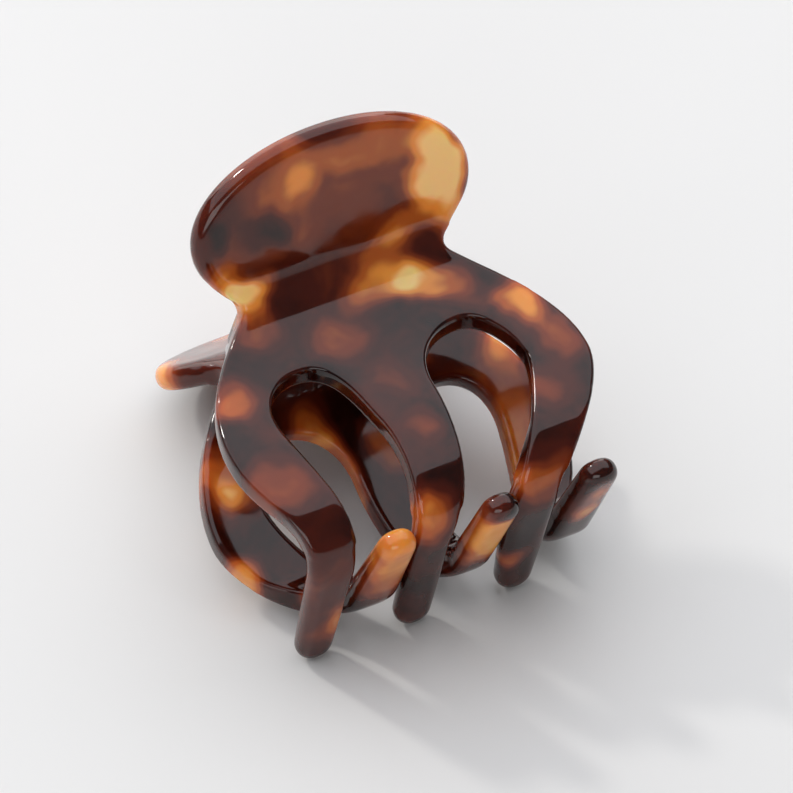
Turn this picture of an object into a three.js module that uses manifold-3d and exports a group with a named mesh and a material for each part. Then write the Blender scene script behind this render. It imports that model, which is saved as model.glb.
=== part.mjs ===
import * as THREE from 'three';
import { mergeVertices } from 'three/addons/utils/BufferGeometryUtils.js';
import { TessellateModifier } from 'three/addons/modifiers/TessellateModifier.js';
import Module from 'manifold-3d';

// A small hair claw clip in cellulose acetate: two identical jaws, each heat-bent from one
// sheet, hinged on a steel pin at the waist and held shut by a torsion spring.
// It lies on its lower jaw. Millimetres, +Z up, X along the hinge pin.
const SHEET = 3.1;            // thickness of the acetate sheet
const EDGE = 0.9;             // polished rounding of every sheet edge
const HALF_GAP = 10.05;        // hinge plane to the outer face of a jaw at the waist
const BODY_HALF = 22.5;       // half the width of the body across the shoulders
const TAB_HALF = 17.6;        // half the width of the oval thumb tab
const TAB_RISE = 11.2;        // half the height of the oval thumb tab
const TAB_CENTRE = 8.1;       // centre of the thumb tab above the waist
const TOOTH_END = 52;         // waist to the centre of a tooth's round tip, along the sheet
const TOOTH_TIP = 2.3;        // radius of a tooth's round tip
const TEETH = [-16.2, -3.7, 9.3];
const SET_OVER = 0.22;        // each jaw is set over on its lugs, towards its longest tooth

// Bend of the sheet: its lean from the hinge plane, in degrees, at distances from the waist.
const BEND_AT = [-3.5, 4, 7, 13, 19, 25, 31, 38];
const BEND_LEAN = [-59.5, -4, 6, 15, 12, 2.5, -37, -84];
const MAX_FACET = 4.2;        // longest facet edge left before bending
const SIDE_STRETCH = 0.4;     // facets may be longer along the hinge, where the sheet is straight

const PIN_DROP = 1.0;         // hinge pin axis below the waist
const PIN_RADIUS = 1.0;
const PIN_HALF = 13.1;
const HEAD_RADIUS = 1.8;
const HEAD_THICK = 0.7;
const LUG_OUTER = 11.5;       // centre of the outer lug of a jaw
const LUG_INNER = 8.5;        // centre of the inner lug of a jaw
const LUG_THICK = 2.4;
const LUG_RADIUS = 2.9;
const LUG_BORE = 1.3;
const GAP = 0.3;              // running gap between neighbouring pieces

const WIRE = 0.45;            // radius of the spring wire
const COIL = 2.6;             // mean radius of the coil
const COIL_PITCH = 1.7;
const COIL_TURNS = 3;         // turns each side of the middle, before the legs leave
const LEG = 13.2;             // length of a spring leg
const LEG_LIFT = 20.5;        // angle of a leg above the level, in degrees

const LIE = 73.0;              // the closed clip is tipped back by this much to lie down

const RAD = Math.PI / 180;

const acetateUpper = new THREE.MeshStandardMaterial({ color: 0x3a1a10, roughness: 0.12, metalness: 0 });
const acetateLower = new THREE.MeshStandardMaterial({ color: 0x43200f, roughness: 0.12, metalness: 0 });
const acetateLug = new THREE.MeshStandardMaterial({ color: 0x8a5630, roughness: 0.18, metalness: 0 });
const steelPin = new THREE.MeshStandardMaterial({ color: 0xc9ccd0, roughness: 0.25, metalness: 1 });
const steelSpring = new THREE.MeshStandardMaterial({ color: 0xb4b8bd, roughness: 0.32, metalness: 1 });

const wasm = await Module();
wasm.setup();

function toSolid(geometry) {
  const bare = geometry.clone();
  bare.deleteAttribute('normal');
  bare.deleteAttribute('uv');
  const merged = mergeVertices(bare, 1e-4);
  const mesh = new wasm.Mesh({
    numProp: 3,
    vertProperties: new Float32Array(merged.attributes.position.array),
    triVerts: new Uint32Array(merged.index.array),
  });
  return new wasm.Manifold(mesh);
}

function toGeometry(solid) {
  const mesh = solid.getMesh();
  const geometry = new THREE.BufferGeometry();
  geometry.setAttribute('position', new THREE.BufferAttribute(mesh.vertProperties, 3));
  geometry.setIndex(new THREE.BufferAttribute(mesh.triVerts, 1));
  geometry.computeVertexNormals();
  return geometry;
}

// The flat blank of a jaw, seen from its outer face: x along the hinge, y up from the waist.
function blankOutline() {
  const neck = Math.asin((0.8 - TAB_CENTRE) / TAB_RISE);
  const neckX = TAB_HALF * Math.cos(neck);
  const [left, middle, right] = TEETH;
  const shape = new THREE.Shape();
  shape.moveTo(-neckX, 0.8);
  shape.quadraticCurveTo(-12.6, -0.3, -13.6, -1.4);
  shape.bezierCurveTo(-18.2, -5.4, -BODY_HALF, -10.5, -BODY_HALF, -18);
  shape.bezierCurveTo(-BODY_HALF, -24.5, left - TOOTH_TIP, -27.5, left - TOOTH_TIP, -34);
  shape.lineTo(left - TOOTH_TIP, -TOOTH_END);
  shape.absarc(left, -TOOTH_END, TOOTH_TIP, Math.PI, 2 * Math.PI, false);
  shape.lineTo(-12.7, -35);
  shape.bezierCurveTo(-12.1, -28, -14.9, -22, -15.3, -15.5);
  shape.bezierCurveTo(-15.3, -12, -13.5, -9.3, -9.9, -9.3);
  shape.bezierCurveTo(-5.1, -9.3, -5.3, -15, -4.4, -19);
  shape.bezierCurveTo(-3.3, -24.5, -5, -31, -5.6, -38);
  shape.lineTo(middle - TOOTH_TIP, -TOOTH_END);
  shape.absarc(middle, -TOOTH_END, TOOTH_TIP, Math.PI, 2 * Math.PI, false);
  shape.lineTo(-0.6, -37.5);
  shape.bezierCurveTo(1.5, -31, 3.6, -24, 3.6, -16.5);
  shape.bezierCurveTo(3.8, -12.5, 6.4, -9.4, 10.3, -9.4);
  shape.bezierCurveTo(13.2, -9.4, 15.2, -12.5, 15.2, -17);
  shape.bezierCurveTo(13.4, -25.5, 5.6, -33, 6.4, -40);
  shape.lineTo(right - TOOTH_TIP, -TOOTH_END);
  shape.absarc(right, -TOOTH_END, TOOTH_TIP, Math.PI, 2 * Math.PI, false);
  shape.lineTo(12.9, -36);
  shape.bezierCurveTo(13.9, -30.5, BODY_HALF, -24.5, BODY_HALF, -18);
  shape.bezierCurveTo(BODY_HALF, -10.5, 18.2, -5.4, 13.6, -1.4);
  shape.quadraticCurveTo(12.6, -0.3, neckX, 0.8);
  shape.absellipse(0, TAB_CENTRE, TAB_HALF, TAB_RISE, neck, Math.PI - neck, false);
  return shape;
}

function leanAt(distance) {
  if (distance <= BEND_AT[0]) return BEND_LEAN[0] * RAD;
  for (let i = 1; i < BEND_AT.length; i += 1) {
    if (distance <= BEND_AT[i]) {
      const part = (distance - BEND_AT[i - 1]) / (BEND_AT[i] - BEND_AT[i - 1]);
      return THREE.MathUtils.lerp(BEND_LEAN[i - 1], BEND_LEAN[i], part) * RAD;
    }
  }
  return BEND_LEAN[BEND_LEAN.length - 1] * RAD;
}

// Point of the bent outer face at a distance from the waist: steps along the lean.
function bentFace(distance) {
  const steps = Math.max(1, Math.ceil(Math.abs(distance) / 0.1));
  const step = distance / steps;
  let y = -HALF_GAP;
  let z = 0;
  for (let i = 0; i < steps; i += 1) {
    const lean = leanAt((i + 0.5) * step);
    y -= Math.sin(lean) * step;
    z -= Math.cos(lean) * step;
  }
  return { y, z };
}

// Point just off the inner face, where a piece cemented to the jaw begins.
function innerFace(distance) {
  const lean = leanAt(distance);
  const face = bentFace(distance);
  const depth = SHEET + GAP;
  return { y: face.y + depth * Math.cos(lean), z: face.z - depth * Math.sin(lean) };
}

// One jaw: the blank is cut from sheet, its edges rounded, then bent over a former.
function jawSolid() {
  const flat = new THREE.ExtrudeGeometry(blankOutline(), {
    depth: SHEET - 2 * EDGE,
    bevelEnabled: true,
    bevelThickness: EDGE,
    bevelSize: EDGE,
    bevelOffset: -EDGE,
    bevelSegments: 1,
    curveSegments: 5,
  });
  flat.translate(0, 0, EDGE - SHEET);
  flat.scale(SIDE_STRETCH, 1, 1);
  const fine = new TessellateModifier(MAX_FACET, 12).modify(flat);
  fine.scale(1 / SIDE_STRETCH, 1, 1);
  const point = fine.attributes.position;
  for (let i = 0; i < point.count; i += 1) {
    const distance = -point.getY(i);
    const depth = -point.getZ(i);
    const lean = leanAt(distance);
    const face = bentFace(distance);
    point.setXYZ(i, point.getX(i), face.y + depth * Math.cos(lean), face.z - depth * Math.sin(lean));
  }
  fine.translate(-SET_OVER, 0, 0);
  return toSolid(fine);
}

// A hinge lug: a small acetate plate standing off the inner face of a jaw, bored for the pin.
function lugSolid(centre) {
  const shape = new THREE.Shape();
  shape.absarc(0, 0, LUG_RADIUS, -Math.PI / 2, Math.PI / 2, false);
  for (const distance of [0.3, 1, 2, 3, 3.8]) {
    const foot = innerFace(distance);
    shape.lineTo(foot.y, foot.z + PIN_DROP);
  }
  shape.closePath();
  const bore = new THREE.Path();
  bore.absarc(0, 0, LUG_BORE, 0, 2 * Math.PI, true);
  shape.holes.push(bore);
  const plate = new THREE.ExtrudeGeometry(shape, { depth: LUG_THICK, bevelEnabled: false, curveSegments: 8 });
  plate.translate(0, 0, -LUG_THICK / 2);
  plate.applyMatrix4(new THREE.Matrix4().makeBasis(
    new THREE.Vector3(0, 1, 0),
    new THREE.Vector3(0, 0, 1),
    new THREE.Vector3(1, 0, 0),
  ));
  plate.translate(centre, 0, -PIN_DROP);
  return plate;
}

// The pin: a steel rod, its ends upset into flat round heads outside the lugs.
function pinGeometry() {
  const rim = HEAD_RADIUS;
  const end = PIN_HALF + HEAD_THICK;
  const profile = [
    new THREE.Vector2(0, -end),
    new THREE.Vector2(rim - 0.3, -end),
    new THREE.Vector2(rim, -end + 0.3),
    new THREE.Vector2(rim, -PIN_HALF),
    new THREE.Vector2(PIN_RADIUS, -PIN_HALF),
    new THREE.Vector2(PIN_RADIUS, PIN_HALF),
    new THREE.Vector2(rim, PIN_HALF),
    new THREE.Vector2(rim, end - 0.3),
    new THREE.Vector2(rim - 0.3, end),
    new THREE.Vector2(0, end),
  ];
  const rod = new THREE.LatheGeometry(profile, 20);
  rod.rotateZ(-Math.PI / 2);
  rod.translate(0, 0, -PIN_DROP);
  return rod;
}

// Centre line of the spring wire: a straight leg, the coil, and the other leg.
class SpringLine extends THREE.Curve {
  getPoint(t, target = new THREE.Vector3()) {
    const leave = (90 - LEG_LIFT) * RAD;
    const half = leave + COIL_TURNS * 2 * Math.PI - Math.PI / 2;
    const coil = 2 * half * COIL;
    const along = t * (coil + 2 * LEG) - LEG;
    const clamped = THREE.MathUtils.clamp(along, 0, coil);
    const angle = Math.PI / 2 - half + clamped / COIL;
    const over = along - clamped;
    const x = (COIL_PITCH * (angle - Math.PI / 2)) / (2 * Math.PI);
    const y = COIL * Math.cos(angle) - over * Math.sin(angle);
    const z = COIL * Math.sin(angle) + over * Math.cos(angle) - PIN_DROP;
    return target.set(x, y, z);
  }
}

// The torsion spring: round wire wound on the pin, each leg resting on the inside of a tab.
function springGeometry() {
  const section = new THREE.Shape();
  section.absarc(0, 0, WIRE, 0, 2 * Math.PI, false);
  const line = new SpringLine();
  line.arcLengthDivisions = 1200;
  return new THREE.ExtrudeGeometry(section, {
    steps: 90,
    extrudePath: line,
    bevelEnabled: false,
    curveSegments: 2,
  });
}

function namedMesh(name, geometry, material) {
  const bare = toGeometry(toSolid(geometry));
  const mesh = new THREE.Mesh(bare, material);
  mesh.name = name;
  return mesh;
}

function halfTurn(geometry) {
  return geometry.clone().rotateZ(Math.PI);
}

const jaw = toGeometry(jawSolid());
const lugOuter = lugSolid(-LUG_OUTER);
const lugInner = lugSolid(LUG_INNER);

const clip = new THREE.Group();
clip.name = 'hair_claw_clip';
clip.add(namedMesh('upper_jaw', jaw, acetateUpper));
clip.add(namedMesh('upper_hinge_lug_left', lugOuter, acetateLug));
clip.add(namedMesh('upper_hinge_lug_right', lugInner, acetateLug));
clip.add(namedMesh('lower_jaw', halfTurn(jaw), acetateLower));
clip.add(namedMesh('lower_hinge_lug_left', halfTurn(lugInner), acetateLug));
clip.add(namedMesh('lower_hinge_lug_right', halfTurn(lugOuter), acetateLug));
clip.add(namedMesh('hinge_pin', pinGeometry(), steelPin));
clip.add(namedMesh('torsion_spring', springGeometry(), steelSpring));

// Tip the clip back so that the lower tab's rim and the upper jaw's tooth tips touch the table.
for (const mesh of clip.children) {
  mesh.geometry.rotateX(-LIE * RAD);
}
const box = new THREE.Box3().setFromObject(clip);
const middle = box.getCenter(new THREE.Vector3());
for (const mesh of clip.children) {
  mesh.geometry.translate(-middle.x, -middle.y, -box.min.z);
}

export default clip;
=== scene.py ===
import math

import bmesh
import bpy
from mathutils import Matrix, Vector


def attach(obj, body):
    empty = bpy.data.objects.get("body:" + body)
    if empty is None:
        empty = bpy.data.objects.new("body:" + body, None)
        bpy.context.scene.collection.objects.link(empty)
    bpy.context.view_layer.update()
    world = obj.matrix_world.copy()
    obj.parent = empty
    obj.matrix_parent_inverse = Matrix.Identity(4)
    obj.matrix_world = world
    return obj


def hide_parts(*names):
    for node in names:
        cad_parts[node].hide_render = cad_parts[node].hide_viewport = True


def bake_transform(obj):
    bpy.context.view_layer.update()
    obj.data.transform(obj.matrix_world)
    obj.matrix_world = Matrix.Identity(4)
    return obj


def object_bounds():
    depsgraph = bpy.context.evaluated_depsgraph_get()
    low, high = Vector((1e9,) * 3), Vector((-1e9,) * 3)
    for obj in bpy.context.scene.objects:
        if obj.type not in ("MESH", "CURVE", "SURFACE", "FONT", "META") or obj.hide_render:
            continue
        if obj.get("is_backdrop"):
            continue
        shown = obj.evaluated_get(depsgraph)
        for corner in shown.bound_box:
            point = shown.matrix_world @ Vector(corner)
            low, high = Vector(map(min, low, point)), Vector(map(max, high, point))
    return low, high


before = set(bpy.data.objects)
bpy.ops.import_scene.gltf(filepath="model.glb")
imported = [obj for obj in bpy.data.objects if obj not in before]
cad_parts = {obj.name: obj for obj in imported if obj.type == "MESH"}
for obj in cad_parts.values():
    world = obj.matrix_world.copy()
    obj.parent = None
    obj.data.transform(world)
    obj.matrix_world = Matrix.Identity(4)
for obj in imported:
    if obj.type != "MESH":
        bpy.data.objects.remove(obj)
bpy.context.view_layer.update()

# The sheet both jaws are cut from: 3 mm cellulose acetate, cast in blocks of dark brown
# with amber and honey lumps folded in, so that each colour runs right through the sheet.
# Each jaw's blank is sawn to one outline, with an oval tab, two slots and three teeth.
MM = 0.001
ROUND_PULL = 0.5523
SHEET_THICK = 3.1
CUT_EDGE = 0.5
WORN_EDGE = 1.35
TEETH_START = -33.0
TAB_START = 1.5
TOOTH_TIP = 2.3
TOOTH_END = -52
TAB_HALF = 17.5
TAB_TOP = 19.3
TAB_WIDEST = 8.1


def cut_line(name, start, runs):
    """A closed outline in the flat sheet: each run is a corner, or two handles and a corner."""
    curve = bpy.data.curves.new(name, "CURVE")
    curve.dimensions = "2D"
    curve.fill_mode = "BOTH"
    curve.resolution_u = 24
    add_outline(curve, start, runs)
    return curve


def add_outline(curve, start, runs):
    """One closed line of smooth and straight runs, added to a flat curve."""
    line = curve.splines.new("BEZIER")
    line.use_cyclic_u = True
    line.bezier_points.add(len(runs) - 1)
    corner = Vector(start)
    line.bezier_points[0].co = (*corner * MM, 0)
    for i, run in enumerate(runs):
        here = line.bezier_points[i]
        there = line.bezier_points[(i + 1) % len(runs)]
        target = Vector(run[-2:])
        first = Vector(run[:2]) if len(run) == 6 else corner.lerp(target, 1 / 3)
        second = Vector(run[2:4]) if len(run) == 6 else corner.lerp(target, 2 / 3)
        here.handle_left_type = here.handle_right_type = "FREE"
        here.handle_right = (*first * MM, 0)
        there.co = (*target * MM, 0)
        there.handle_left_type = "FREE"
        there.handle_left = (*second * MM, 0)
        corner = target


def tooth_tip(middle):
    """The two quarter rounds of a tooth's end, from its left side to its right side."""
    pull = TOOTH_TIP * ROUND_PULL
    lowest = TOOTH_END - TOOTH_TIP
    left, right = middle - TOOTH_TIP, middle + TOOTH_TIP
    return [
        (left, TOOTH_END - pull, middle - pull, lowest, middle, lowest),
        (middle + pull, lowest, right, TOOTH_END - pull, right, TOOTH_END),
    ]


def settled(data, name, modifier=None, **settings):
    """The plain mesh that a curve, or a mesh under one modifier, comes to."""
    holder = bpy.data.objects.new(name, data)
    bpy.context.collection.objects.link(holder)
    if modifier:
        applied = holder.modifiers.new(name, modifier)
        for key, value in settings.items():
            setattr(applied, key, value)
    bpy.context.view_layer.update()
    finished = holder.evaluated_get(bpy.context.evaluated_depsgraph_get())
    mesh = bpy.data.meshes.new_from_object(finished)
    mesh.name = name
    bpy.data.objects.remove(holder)
    return mesh


def plate_from(curve, thick, rounding, name):
    """The outline given its thickness, with both rims rounded inside the cut."""
    curve.extrude = (thick / 2 - rounding) * MM
    curve.bevel_depth = rounding * MM
    curve.bevel_resolution = 4
    curve.offset = -rounding * MM
    mesh = settled(curve, name)
    bpy.data.curves.remove(curve)
    shape = bmesh.new()
    shape.from_mesh(mesh)
    bmesh.ops.remove_doubles(shape, verts=shape.verts, dist=1e-6)
    bmesh.ops.recalc_face_normals(shape, faces=shape.faces)
    shape.to_mesh(mesh)
    shape.free()
    return mesh


blank_runs = [
    (-12.6, -0.1, -12.7, -0.6, -13.6, -1.4),
    (-18.2, -5.4, -22.5, -10.5, -22.5, -18),
    (-22.5, -24.5, -18.5, -27.5, -18.5, -34),
    (-18.5, TOOTH_END),
    *tooth_tip(-16.2),
    (-12.7, -35),
    (-12.1, -28, -14.9, -22, -15.3, -15.5),
    (-15.3, -12, -13.5, -9.3, -9.9, -9.3),
    (-5.1, -9.3, -5.3, -15, -4.4, -19),
    (-3.3, -24.5, -5, -31, -5.6, -38),
    (-6, TOOTH_END),
    *tooth_tip(-3.7),
    (-0.6, -37.5),
    (1.5, -31, 3.6, -24, 3.6, -16.5),
    (3.8, -12.5, 6.4, -9.4, 10.3, -9.4),
    (13.2, -9.4, 15.2, -12.5, 15.2, -17),
    (13.4, -25.5, 5.6, -33, 6.4, -40),
    (7, TOOTH_END),
    *tooth_tip(9.3),
    (12.9, -36),
    (13.9, -30.5, 22.5, -24.5, 22.5, -18),
    (22.5, -10.5, 18.2, -5.4, 13.6, -1.4),
    (12.7, -0.6, 12.6, -0.1, 13.3, 0.8),
    (16, 2.7, TAB_HALF, 5.2, TAB_HALF, TAB_WIDEST),
    (TAB_HALF, 14.6, 9.6, TAB_TOP, 0, TAB_TOP),
    (-9.6, TAB_TOP, -TAB_HALF, 14.6, -TAB_HALF, TAB_WIDEST),
    (-TAB_HALF, 5.2, -16, 2.7, -13.3, 0.8),
]
blank_start = (-13.3, 0.8)
cut, worn = (
    plate_from(cut_line(name, blank_start, blank_runs), SHEET_THICK, rounding, name)
    for name, rounding in (("cut_blank", CUT_EDGE), ("worn_blank", WORN_EDGE))
)

# Tumbling in a barrel of wooden pegs takes every tool mark off the blank. The teeth and the
# tab, which stand proud, come out full and round; the body keeps a crisper edge. Each turn
# of the barrel rubs the places named here once.
GRAIN = 0.23
LAP = 0.4
RUB = 0.5
TUMBLING = [(5, "all over"), (6, "outer rim"), (10, "tab"), (14, "teeth")]
RIM_WIDTH = 2.6
BODY_HALF = 22.5
SHOULDER = -7


def sawn(mesh, low, high):
    """The part of a plate that lies between two heights, with its sawn ends closed."""
    shape = bmesh.new()
    shape.from_mesh(mesh)
    for height, keep in ((low, -1), (high, 1)):
        if height is None:
            continue
        everything = shape.verts[:] + shape.edges[:] + shape.faces[:]
        bmesh.ops.bisect_plane(shape, geom=everything, clear_outer=True,
                               plane_co=(0, height * MM, 0), plane_no=(0, keep, 0))
        open_edges = [edge for edge in shape.edges if edge.is_boundary]
        bmesh.ops.holes_fill(shape, edges=open_edges, sides=0)
    return shape


def rubbed(vertex, where, turn):
    """Whether this point of the blank is rubbed in this turn of the barrel."""
    across, up = abs(vertex.co.x) / MM, vertex.co.y / MM
    if where == "outer rim":
        return across > BODY_HALF - RIM_WIDTH or up > SHOULDER
    if where == "tab":
        return up > TAB_START - turn % 3
    if where == "teeth":
        return up < TEETH_START + turn % 4
    return True


lapped = bpy.data.meshes.new("lapped_blank")
joined = bmesh.new()
for plate, low, high in (
    (cut, TEETH_START, TAB_START),
    (worn, None, TEETH_START + LAP),
    (worn, TAB_START - LAP, None),
):
    part = sawn(plate, low, high)
    part.to_mesh(lapped)
    part.free()
    joined.from_mesh(lapped)
joined.to_mesh(lapped)
joined.free()
blank = settled(lapped, "jaw_blank", "REMESH", mode="VOXEL", voxel_size=GRAIN * MM)
for spent in (cut, worn, lapped):
    bpy.data.meshes.remove(spent)
shape = bmesh.new()
shape.from_mesh(blank)
for turns, where in TUMBLING:
    for turn in range(turns):
        touched = [vertex for vertex in shape.verts if rubbed(vertex, where, turn)]
        bmesh.ops.smooth_vert(shape, verts=touched, factor=RUB,
                              use_axis_x=True, use_axis_y=True, use_axis_z=True)
shape.to_mesh(blank)
shape.free()

# The jaws: two such blanks, each warmed and bent over a former. The second is turned half
# round on the upright middle line, and the teeth, set off to one side, then interlock.
# The bend gives the sheet's lean in degrees at distances below the waist.
HALF_GAP = 10.05
SET_OVER = 0.22
BEND = [(-3.5, -59.5), (4, -4), (7, 6), (13, 15), (19, 12), (25, 2.5), (31, -37), (38, -84)]
LEAN_STEP = 0.05
LONGEST_RUN = 58
LAID_AT = Vector((0, 8.7769, 21.3821)) * MM
LIE_DOWN = Matrix.Translation(LAID_AT) @ Matrix.Rotation(math.radians(-73), 4, "X")
HALF_TURN = Matrix.Rotation(math.pi, 4, "Z")


def lean(distance):
    """How far the sheet leans from the hinge plane at a distance below the waist."""
    if distance <= BEND[0][0]:
        return math.radians(BEND[0][1])
    for (near, angle), (far, next_angle) in zip(BEND, BEND[1:]):
        if distance <= far:
            part = (distance - near) / (far - near)
            return math.radians(angle + (next_angle - angle) * part)
    return math.radians(BEND[-1][1])


def former():
    """Stations along the bent outer face: its y and z at every step from the waist."""
    stations = {0: (-HALF_GAP, 0.0)}
    for way in (-1, 1):
        y, z = stations[0]
        for i in range(1, int(LONGEST_RUN / LEAN_STEP)):
            angle = lean(way * (i - 0.5) * LEAN_STEP)
            y -= math.sin(angle) * LEAN_STEP * way
            z -= math.cos(angle) * LEAN_STEP * way
            stations[way * i] = (y, z)
    return stations


stations = former()


def in_bend(distance, depth):
    """Where a point of the sheet comes to lie, from its distance and its depth in the sheet."""
    station = math.floor(distance / LEAN_STEP)
    part = distance / LEAN_STEP - station
    (y0, z0), (y1, z1) = stations[station], stations[station + 1]
    y, z = y0 + (y1 - y0) * part, z0 + (z1 - z0) * part
    angle = lean(distance)
    return y + depth * math.cos(angle), z - depth * math.sin(angle)


def bent(mesh, place):
    """The flat blank laid over the former, keeping each point's place in the sheet."""
    jaw = mesh.copy()
    in_sheet = jaw.attributes.new("in_sheet", "FLOAT_VECTOR", "POINT")
    for i, vertex in enumerate(jaw.vertices):
        in_sheet.data[i].vector = vertex.co
        y, z = in_bend(-vertex.co.y / MM, SHEET_THICK / 2 - vertex.co.z / MM)
        vertex.co = place @ Vector((vertex.co.x - SET_OVER * MM, y * MM, z * MM))
    jaw.shade_smooth()
    return jaw


def piece(name, mesh, body, material, node):
    """A finished piece: put on its body, shown in place of its plain solid."""
    made = bpy.data.objects.new(name, mesh)
    bpy.context.collection.objects.link(made)
    mesh.name = name
    mesh.materials.clear()
    mesh.materials.append(material)
    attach(made, body)
    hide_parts(node)


def add_node(tree, kind, **settings):
    """A shader node with its settings."""
    made = tree.nodes.new(kind)
    for key, value in settings.items():
        setattr(made, key, value)
    return made


def added(tree, first, second, clamp=False):
    """Two amounts added together, each a socket or a plain number."""
    made = add_node(tree, "ShaderNodeMath", operation="ADD", use_clamp=clamp)
    for socket, value in zip(made.inputs, (first, second)):
        if isinstance(value, (int, float)):
            socket.default_value = value
        else:
            tree.links.new(value, socket)
    return made.outputs[0]


# Lumps of light acetate in each jaw: across and up from the waist, half width, half height,
# and how light the lump is. A lump below nought is darker than its surroundings.
LUMP_EDGE = 1.5
LUMP_HEART = 0.25
UPPER_LUMPS = [
    (0.0, 10.0, 22.0, 11.0, 0.29),
    (12.9, 9.2, 3.2, 5.0, 0.82),
    (12.0, 14.4, 2.4, 2.8, 0.36),
    (3.6, 15.8, 7.6, 2.8, 0.30),
    (-7.4, 14.6, 4.4, 4.4, 0.22),
    (-3.8, 10.4, 2.2, 4.8, 0.24),
    (-7.4, 9.8, 4.2, 2.6, -0.32),
    (-14.8, 10.0, 1.2, 2.0, -0.18),
    (-14.2, 3.2, 3.0, 3.8, 0.46),
    (-11.2, 1.2, 2.6, 2.7, 0.80),
    (5.4, 1.4, 3.8, 2.4, 0.34),
    (4.9, -2.5, 5.0, 2.4, 0.50),
    (9.2, -3.8, 4.2, 2.6, 0.60),
    (-16.4, -43.0, 3.6, 11.0, 0.22),
    (8.2, 3.8, 4.4, 2.0, 0.30),
    (14.8, 3.2, 2.0, 3.2, 0.40),
    (-12.0, -2.6, 2.6, 2.0, 0.34),
    (-3.8, -6.8, 3.6, 3.2, 0.34),
    (-18.0, -10.8, 3.0, 3.2, 0.50),
    (11.6, -6.2, 2.8, 1.6, 0.26),
    (17.6, -10.2, 2.6, 3.6, 0.66),
    (19.4, -16.4, 2.6, 3.2, 0.32),
    (14.6, -8.0, 2.0, 1.4, 0.20),
    (-1.0, -14.0, 2.4, 2.8, 0.20),
    (-0.4, -21.2, 2.0, 2.8, 0.24),
    (-18.6, -23.4, 5.0, 3.0, 0.31),
    (16.0, -22.4, 3.2, 3.0, 0.22),
    (-3.2, -33.2, 3.2, 3.8, 0.62),
    (10.6, -32.8, 4.4, 2.8, 0.46),
    (-13.6, -47.0, 1.9, 5.4, 0.36),
    (7.8, -46.6, 2.4, 2.0, 0.36),
]
LOWER_LUMPS = [
    (9.2, -50.0, 3.8, 9.5, 0.66),
    (-3.6, -47.6, 3.4, 7.4, 0.70),
    (-4.4, -53.0, 2.4, 1.8, -0.46),
    (-15.2, -44.6, 1.8, 3.6, 0.56),
    (-17.0, -49.6, 1.8, 2.4, 0.44),
    (-16.0, -16.6, 4.6, 7.4, 0.52),
    (-13.0, -23.0, 2.6, 4.0, 0.36),
    (-18.6, -7.4, 3.6, 3.2, 0.56),
    (6.4, -9.4, 3.0, 3.2, 0.54),
    (4.6, -18.0, 1.5, 7.4, 0.56),
    (20.0, -13.0, 2.6, 3.0, 0.54),
    (16.8, -12.0, 3.6, 4.2, 0.46),
    (21.2, -23.2, 2.6, 2.8, 0.60),
    (17.0, -33.0, 2.6, 2.2, 0.60),
    (-1.4, -15.0, 2.4, 3.2, 0.46),
    (-8.0, -5.0, 3.6, 2.2, 0.42),
    (0.0, 10.0, 22.0, 11.0, 0.24),
    (16.8, 9.6, 2.2, 4.4, 0.56),
    (-9.0, 11.0, 6.0, 4.8, 0.70),
    (4.0, 15.0, 5.0, 3.0, 0.34),
    (3.0, 5.0, 4.4, 2.4, 0.42),
]


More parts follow.
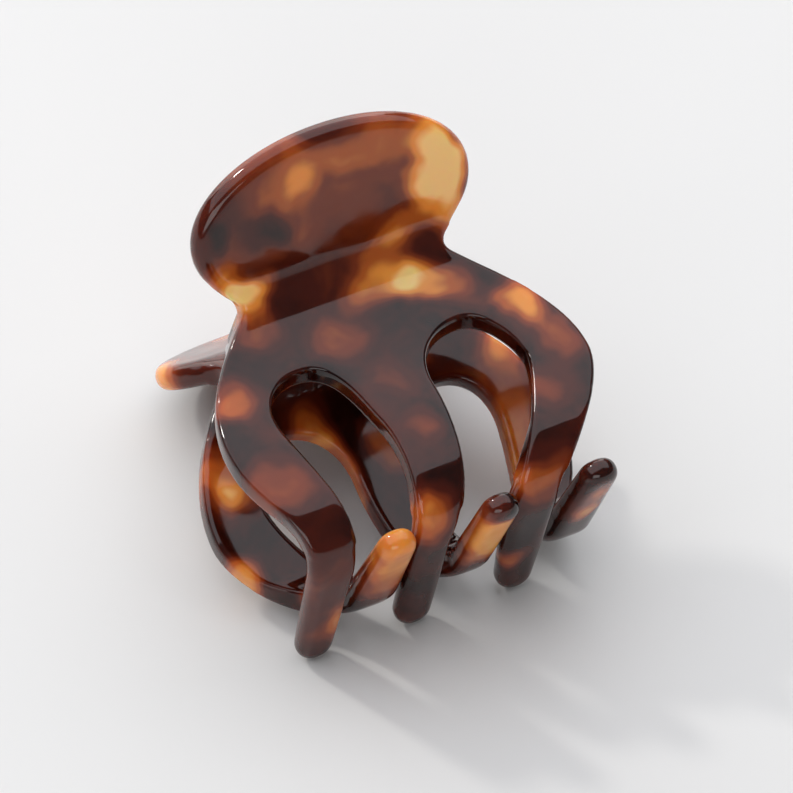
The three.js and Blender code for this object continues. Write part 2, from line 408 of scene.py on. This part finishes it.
def tortoiseshell(name, lumps, seed):
    """Polished acetate: dark ground, soft-edged lumps, fine wear and a clear gloss."""
    material = bpy.data.materials.new(name)
    material.use_nodes = True
    tree = material.node_tree
    link = tree.links.new
    shell = tree.nodes["Principled BSDF"]
    place = add_node(tree, "ShaderNodeAttribute", attribute_name="in_sheet")
    flow = add_node(tree, "ShaderNodeTexNoise", noise_dimensions="4D")
    flow.inputs["W"].default_value = seed
    flow.inputs["Scale"].default_value = 150
    flow.inputs["Detail"].default_value = 1.6
    flow.inputs["Roughness"].default_value = 0.4
    link(place.outputs["Vector"], flow.inputs["Vector"])
    centred = add_node(tree, "ShaderNodeVectorMath", operation="SUBTRACT")
    centred.inputs[1].default_value = (0.5, 0.5, 0.5)
    link(flow.outputs["Color"], centred.inputs[0])
    pushed = add_node(tree, "ShaderNodeVectorMath", operation="MULTIPLY_ADD")
    pushed.inputs[1].default_value = (0.006, 0.006, 0)
    link(centred.outputs[0], pushed.inputs[0])
    link(place.outputs["Vector"], pushed.inputs[2])
    light = 0.0
    for across, up, half_width, half_height, strength in lumps:
        offset = add_node(tree, "ShaderNodeVectorMath", operation="SUBTRACT")
        offset.inputs[1].default_value = (across * MM, up * MM, 0)
        link(pushed.outputs[0], offset.inputs[0])
        shrunk = add_node(tree, "ShaderNodeVectorMath", operation="MULTIPLY")
        shrunk.inputs[1].default_value = (1 / (half_width * MM), 1 / (half_height * MM), 0)
        link(offset.outputs[0], shrunk.inputs[0])
        reach = add_node(tree, "ShaderNodeVectorMath", operation="LENGTH")
        link(shrunk.outputs[0], reach.inputs[0])
        soft = add_node(tree, "ShaderNodeMapRange", interpolation_type="SMOOTHSTEP")
        soft.inputs["From Min"].default_value = LUMP_EDGE
        soft.inputs["From Max"].default_value = LUMP_HEART
        soft.inputs["To Max"].default_value = strength
        link(reach.outputs["Value"], soft.inputs["Value"])
        light = added(tree, light, soft.outputs[0])
    cloud = add_node(tree, "ShaderNodeTexNoise", noise_dimensions="4D")
    cloud.inputs["W"].default_value = seed + 3
    cloud.inputs["Scale"].default_value = 130
    cloud.inputs["Detail"].default_value = 3
    link(pushed.outputs[0], cloud.inputs["Vector"])
    haze = add_node(tree, "ShaderNodeMapRange")
    haze.inputs["From Min"].default_value = 0.35
    haze.inputs["From Max"].default_value = 0.75
    haze.inputs["To Max"].default_value = 0.23
    link(cloud.outputs["Fac"], haze.inputs["Value"])
    total = added(tree, light, haze.outputs[0], clamp=True)
    tint = add_node(tree, "ShaderNodeValToRGB")
    tint.color_ramp.interpolation = "EASE"
    stops = tint.color_ramp.elements
    stops[0].position, stops[0].color = 0.0, (0.012, 0.0022, 0.0014, 1)
    stops[1].position, stops[1].color = 1.0, (1.0, 0.68, 0.25, 1)
    for position, colour in (
        (0.20, (0.075, 0.0090, 0.0036, 1)),
        (0.38, (0.21, 0.034, 0.0080, 1)),
        (0.56, (0.46, 0.11, 0.017, 1)),
        (0.78, (0.80, 0.33, 0.055, 1)),
    ):
        stop = stops.new(position)
        stop.color = colour
    link(total, tint.inputs["Fac"])
    link(tint.outputs["Color"], shell.inputs["Base Color"])
    wear = add_node(tree, "ShaderNodeTexNoise")
    wear.inputs["Scale"].default_value = 420
    wear.inputs["Detail"].default_value = 6
    link(place.outputs["Vector"], wear.inputs["Vector"])
    rough = add_node(tree, "ShaderNodeMapRange")
    rough.inputs["From Min"].default_value = 0.35
    rough.inputs["From Max"].default_value = 0.8
    rough.inputs["To Min"].default_value = 0.04
    rough.inputs["To Max"].default_value = 0.13
    link(wear.outputs["Fac"], rough.inputs["Value"])
    link(rough.outputs[0], shell.inputs["Roughness"])
    ripple = add_node(tree, "ShaderNodeTexNoise")
    ripple.inputs["Scale"].default_value = 95
    ripple.inputs["Detail"].default_value = 1
    link(place.outputs["Vector"], ripple.inputs["Vector"])
    skin = add_node(tree, "ShaderNodeBump")
    skin.inputs["Strength"].default_value = 0.9
    skin.inputs["Distance"].default_value = 0.0003
    link(ripple.outputs["Fac"], skin.inputs["Height"])
    link(skin.outputs[0], shell.inputs["Normal"])
    shell.inputs["IOR"].default_value = 1.5
    shell.inputs["Subsurface Weight"].default_value = 0.85
    shell.inputs["Subsurface Radius"].default_value = (1.0, 0.45, 0.14)
    shell.inputs["Subsurface Scale"].default_value = 0.004
    return material


upper_shell = tortoiseshell("upper_tortoiseshell", UPPER_LUMPS, 2.0)
lower_shell = tortoiseshell("lower_tortoiseshell", LOWER_LUMPS, 7.0)
piece("upper_jaw_shell", bent(blank, LIE_DOWN), "upper_jaw", upper_shell,
      "upper_jaw")
piece("lower_jaw_shell", bent(blank, LIE_DOWN @ HALF_TURN), "lower_jaw", lower_shell,
      "lower_jaw")
bpy.data.meshes.remove(blank)

# The hinge pin: drawn steel wire 2 mm thick, cut to length, with both ends upset into low
# domed heads outside the lugs.
PIN_DROP = -1.0
PIN_RADIUS = 1.0
PIN_HALF = 13.1
HEAD_RADIUS = 1.8
HEAD_THICK = 0.7
TURNING_STEPS = 48


def steel(name, colour, roughness):
    """Bright drawn wire: fine lines along it and a little uneven dulling."""
    material = bpy.data.materials.new(name)
    material.use_nodes = True
    tree = material.node_tree
    link = tree.links.new
    metal = tree.nodes["Principled BSDF"]
    metal.inputs["Metallic"].default_value = 1
    place = add_node(tree, "ShaderNodeTexCoord")
    drawn = add_node(tree, "ShaderNodeMapping")
    drawn.inputs["Scale"].default_value = (120, 2600, 2600)
    link(place.outputs["Object"], drawn.inputs["Vector"])
    lines = add_node(tree, "ShaderNodeTexNoise")
    lines.inputs["Scale"].default_value = 1
    lines.inputs["Detail"].default_value = 4
    link(drawn.outputs[0], lines.inputs["Vector"])
    dull = add_node(tree, "ShaderNodeMapRange")
    dull.inputs["To Min"].default_value = roughness * 0.7
    dull.inputs["To Max"].default_value = roughness * 1.5
    link(lines.outputs["Fac"], dull.inputs["Value"])
    link(dull.outputs[0], metal.inputs["Roughness"])
    shade = add_node(tree, "ShaderNodeMix", data_type="RGBA")
    shade.inputs["A"].default_value = (*colour, 1)
    shade.inputs["B"].default_value = (*(c * 0.72 for c in colour), 1)
    link(lines.outputs["Fac"], shade.inputs["Factor"])
    link(shade.outputs["Result"], metal.inputs["Base Color"])
    scratch = add_node(tree, "ShaderNodeBump")
    scratch.inputs["Strength"].default_value = 0.2
    scratch.inputs["Distance"].default_value = 0.00005
    link(lines.outputs["Fac"], scratch.inputs["Height"])
    link(scratch.outputs[0], metal.inputs["Normal"])
    return material


def turned(profile, name):
    """A round part: its half section spun once round the pin's line."""
    shape = bmesh.new()
    corners = [shape.verts.new((x * MM, 0, r * MM)) for x, r in profile]
    edges = [shape.edges.new(pair) for pair in zip(corners, corners[1:])]
    bmesh.ops.spin(shape, geom=corners + edges, cent=(0, 0, 0), axis=(1, 0, 0),
                   steps=TURNING_STEPS, angle=2 * math.pi, use_merge=True)
    bmesh.ops.remove_doubles(shape, verts=shape.verts, dist=1e-7)
    bmesh.ops.recalc_face_normals(shape, faces=shape.faces)
    bmesh.ops.translate(shape, verts=shape.verts, vec=(0, 0, PIN_DROP * MM))
    mesh = bpy.data.meshes.new(name)
    shape.to_mesh(mesh)
    shape.free()
    mesh.transform(LIE_DOWN)
    mesh.shade_smooth()
    return mesh


def head(side):
    """Half section of one upset head, from the shank out to the crown."""
    out = PIN_HALF + HEAD_THICK
    return [
        (side * PIN_HALF, PIN_RADIUS),
        (side * PIN_HALF, HEAD_RADIUS - 0.1),
        (side * (PIN_HALF + 0.12), HEAD_RADIUS),
        (side * (out - 0.35), HEAD_RADIUS * 0.95),
        (side * (out - 0.12), HEAD_RADIUS * 0.75),
        (side * (out - 0.02), HEAD_RADIUS * 0.4),
        (side * out, 0),
    ]


pin_steel = steel("pin_steel", (0.62, 0.62, 0.63), 0.22)
pin_shape = turned(head(-1)[::-1] + head(1), "steel_hinge_pin")
piece("steel_hinge_pin", pin_shape, "lower_jaw", pin_steel, "hinge_pin")

# The hinge lugs: four small plates of the same acetate, drilled for the pin and cemented in
# pairs to the inner faces of the jaws, so that each jaw's outer lug laps the other's inner one.
LUG_THICK = 2.4
LUG_RADIUS = 2.9
LUG_BORE = 1.3
LUG_EDGE = 0.25
LUG_STAND = 0.3
LUG_FOOT = (0.3, 1, 2, 3, 3.8)
LUG_PLACES = [
    ("upper_lug_left", -11.5, "upper_jaw", "upper_hinge_lug_left"),
    ("upper_lug_right", 8.5, "upper_jaw", "upper_hinge_lug_right"),
    ("lower_lug_right", -11.5, "lower_jaw", "lower_hinge_lug_right"),
    ("lower_lug_left", 8.5, "lower_jaw", "lower_hinge_lug_left"),
]


def ring(radius, clockwise):
    """Four quarter rounds about the bore's centre, as a start and its runs."""
    pull = radius * ROUND_PULL
    way = -1 if clockwise else 1
    runs = [
        (radius, way * pull, pull, way * radius, 0, way * radius),
        (-pull, way * radius, -radius, way * pull, -radius, 0),
        (-radius, -way * pull, -pull, -way * radius, 0, -way * radius),
        (pull, -way * radius, radius, -way * pull, radius, 0),
    ]
    return (radius, 0), runs


def lug_plate(name, across, turn):
    """One lug, standing on the inner face of its jaw with its round end about the pin."""
    pull = LUG_RADIUS * ROUND_PULL
    foot = [in_bend(distance, SHEET_THICK + LUG_STAND) for distance in LUG_FOOT]
    curve = cut_line(name, (0, -LUG_RADIUS), [
        (pull, -LUG_RADIUS, LUG_RADIUS, -pull, LUG_RADIUS, 0),
        (LUG_RADIUS, pull, pull, LUG_RADIUS, 0, LUG_RADIUS),
        *((y, z - PIN_DROP) for y, z in foot),
        (0, -LUG_RADIUS),
    ])
    add_outline(curve, *ring(LUG_BORE, clockwise=True))
    mesh = plate_from(curve, LUG_THICK, LUG_EDGE, name)
    upright = Matrix((
        (0, 0, 1, across * MM),
        (1, 0, 0, 0),
        (0, 1, 0, PIN_DROP * MM),
        (0, 0, 0, 1),
    ))
    mesh.transform(LIE_DOWN @ turn @ upright)
    mesh.shade_smooth()
    return mesh


def lug_acetate():
    """An offcut of the same block: dark brown, streaked with honey, glossy."""
    material = bpy.data.materials.new("lug_acetate")
    material.use_nodes = True
    tree = material.node_tree
    link = tree.links.new
    shell = tree.nodes["Principled BSDF"]
    place = add_node(tree, "ShaderNodeTexCoord")
    streak = add_node(tree, "ShaderNodeTexNoise")
    streak.inputs["Scale"].default_value = 190
    streak.inputs["Detail"].default_value = 4
    streak.inputs["Distortion"].default_value = 1.2
    link(place.outputs["Object"], streak.inputs["Vector"])
    tint = add_node(tree, "ShaderNodeValToRGB")
    stops = tint.color_ramp.elements
    stops[0].position, stops[0].color = 0.38, (0.030, 0.006, 0.003, 1)
    stops[1].position, stops[1].color = 0.72, (0.50, 0.20, 0.05, 1)
    link(streak.outputs["Fac"], tint.inputs["Fac"])
    link(tint.outputs["Color"], shell.inputs["Base Color"])
    rough = add_node(tree, "ShaderNodeMapRange")
    rough.inputs["To Min"].default_value = 0.1
    rough.inputs["To Max"].default_value = 0.28
    link(streak.outputs["Fac"], rough.inputs["Value"])
    link(rough.outputs[0], shell.inputs["Roughness"])
    shell.inputs["IOR"].default_value = 1.5
    shell.inputs["Coat Weight"].default_value = 0.4
    shell.inputs["Coat Roughness"].default_value = 0.05
    return material


offcut = lug_acetate()
for name, across, body, node in LUG_PLACES:
    turn = Matrix.Identity(4) if body == "upper_jaw" else HALF_TURN
    piece(name, lug_plate(name, across, turn), body, offcut, node)

# The torsion spring: 0.9 mm spring wire wound six turns on the pin, three each side of the
# middle. Each straight leg bears on the inside of one thumb tab and pushes it outwards,
# which holds the teeth shut.
WIRE_RADIUS = 0.45
COIL_RADIUS = 2.6
COIL_PITCH = 1.7
COIL_TURNS = 3
LEG_LENGTH = 13.2
LEG_LIFT = math.radians(20.5)
COIL_STEPS = 220


def spring_wire():
    """The wire's middle line, from the lower leg's end round the coil to the upper leg's end."""
    half = COIL_TURNS * 2 * math.pi - LEG_LIFT
    turns = [math.pi / 2 - half + 2 * half * i / COIL_STEPS for i in range(COIL_STEPS + 1)]
    line = []
    for angle in turns:
        across = COIL_PITCH * (angle - math.pi / 2) / (2 * math.pi)
        line.append(Vector((across, COIL_RADIUS * math.cos(angle), COIL_RADIUS * math.sin(angle))))
    leave = Vector((0, -math.sin(turns[-1]), math.cos(turns[-1])))
    arrive = Vector((0, math.sin(turns[0]), -math.cos(turns[0])))
    lower_leg = [line[0] + arrive * LEG_LENGTH * part for part in (1, 0.75, 0.5, 0.25)]
    upper_leg = [line[-1] + leave * LEG_LENGTH * part for part in (0.25, 0.5, 0.75, 1)]
    return lower_leg + line + upper_leg


wire = bpy.data.curves.new("spring_wire", "CURVE")
wire.dimensions = "3D"
wire.bevel_depth = WIRE_RADIUS * MM
wire.bevel_resolution = 3
wire.use_fill_caps = True
route = spring_wire()
run = wire.splines.new("POLY")
run.points.add(len(route) - 1)
for point, place in zip(run.points, route):
    point.co = (*(place + Vector((0, 0, PIN_DROP))) * MM, 1)
coil = settled(wire, "wound_spring")
bpy.data.curves.remove(wire)
coil.transform(LIE_DOWN)
coil.shade_smooth()
coil.materials.clear()
coil.materials.append(steel("spring_steel", (0.52, 0.53, 0.55), 0.28))
spring = bpy.data.objects.new("wound_spring", coil)
bpy.context.collection.objects.link(spring)
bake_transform(spring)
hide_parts("torsion_spring")

# The table: a plain pale top, far wider than the clip, with a soft matt surface. The lower
# tab's rim and the upper teeth's tips rest on it.
TABLE_HALF = 3
table_shape = bmesh.new()
bmesh.ops.create_grid(table_shape, x_segments=1, y_segments=1, size=TABLE_HALF)
table_mesh = bpy.data.meshes.new("table_top")
table_shape.to_mesh(table_mesh)
table_shape.free()
table = bpy.data.objects.new("table_top", table_mesh)
bpy.context.collection.objects.link(table)
matt = bpy.data.materials.new("pale_table")
matt.use_nodes = True
top_coat = matt.node_tree.nodes["Principled BSDF"]
top_coat.inputs["Base Color"].default_value = (0.755, 0.755, 0.74, 1)
top_coat.inputs["Roughness"].default_value = 0.75
table_mesh.materials.append(matt)
table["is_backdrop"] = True

# The light: a soft key from behind on the left, which throws the shadows forward to the
# right, a wide panel overhead that glosses the body, weaker ones behind and in front, and
# a pale surround.
def lamp(name, kind, energy, place, aim, **settings):
    """A lamp at a place, aimed at a point."""
    light = bpy.data.lights.new(name, kind)
    light.energy = energy
    for key, value in settings.items():
        setattr(light, key, value)
    holder = bpy.data.objects.new(name, light)
    holder.location = place
    holder.rotation_euler = (Vector(aim) - Vector(place)).to_track_quat("-Z", "Y").to_euler()
    bpy.context.collection.objects.link(holder)


lamp("key", "SUN", 0.65, (-0.46, 0.89, 0.8), (0, 0, 0),
     angle=math.radians(6), color=(1.0, 0.965, 0.92))
lamp("back_panel", "AREA", 8, (0.1, 1.3, 0.42), (-0.1, 0, 0.02),
     shape="RECTANGLE", size=1.8, size_y=0.7, color=(1.0, 0.98, 0.95))
lamp("front_panel", "AREA", 5.5, (-0.75, -1.25, 0.55), (0, 0, 0.03),
     shape="RECTANGLE", size=1.2, size_y=0.7)
lamp("overhead_panel", "AREA", 30.5, (0, 0.755, 0.95), (0, 0.755, 0),
     shape="RECTANGLE", size=3.2, size_y=2.3, color=(0.95, 0.955, 1.0))
sky = bpy.data.worlds.new("studio")
sky.use_nodes = True
surround = sky.node_tree.nodes["Background"]
surround.inputs["Color"].default_value = (0.93, 0.95, 1.0, 1)
surround.inputs["Strength"].default_value = 0.12
bpy.context.scene.world = sky
bpy.context.scene.view_settings.view_transform = "Standard"

# The camera: a long lens above and to the left of the teeth, tipped a little on its axis.
# It looks round from straight in front of the teeth, and down from the level.
LOOK_ROUND = math.radians(27.87)
LOOK_DOWN = math.radians(46.747)
TILT = math.radians(1.999)
STANDPOINT = (-0.31202, -0.59745, 0.73281)
SENSOR = 36
LENS = 388.3
ahead = Vector((
    math.sin(LOOK_ROUND) * math.cos(LOOK_DOWN),
    math.cos(LOOK_ROUND) * math.cos(LOOK_DOWN),
    -math.sin(LOOK_DOWN),
))
level = Vector((math.cos(LOOK_ROUND), -math.sin(LOOK_ROUND), 0))
above = level.cross(ahead)
right = level * math.cos(TILT) + above * math.sin(TILT)
top = right.cross(ahead)
camera_data = bpy.data.cameras.new("camera")
camera_data.sensor_width = SENSOR
camera_data.lens = LENS
camera = bpy.data.objects.new("camera", camera_data)
facing = Matrix((right, top, -ahead)).transposed().to_4x4()
camera.matrix_world = Matrix.Translation(STANDPOINT) @ facing
bpy.context.collection.objects.link(camera)
bpy.context.scene.camera = camera

# The box round the shown pieces of the finished clip, the table left out.
low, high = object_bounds()
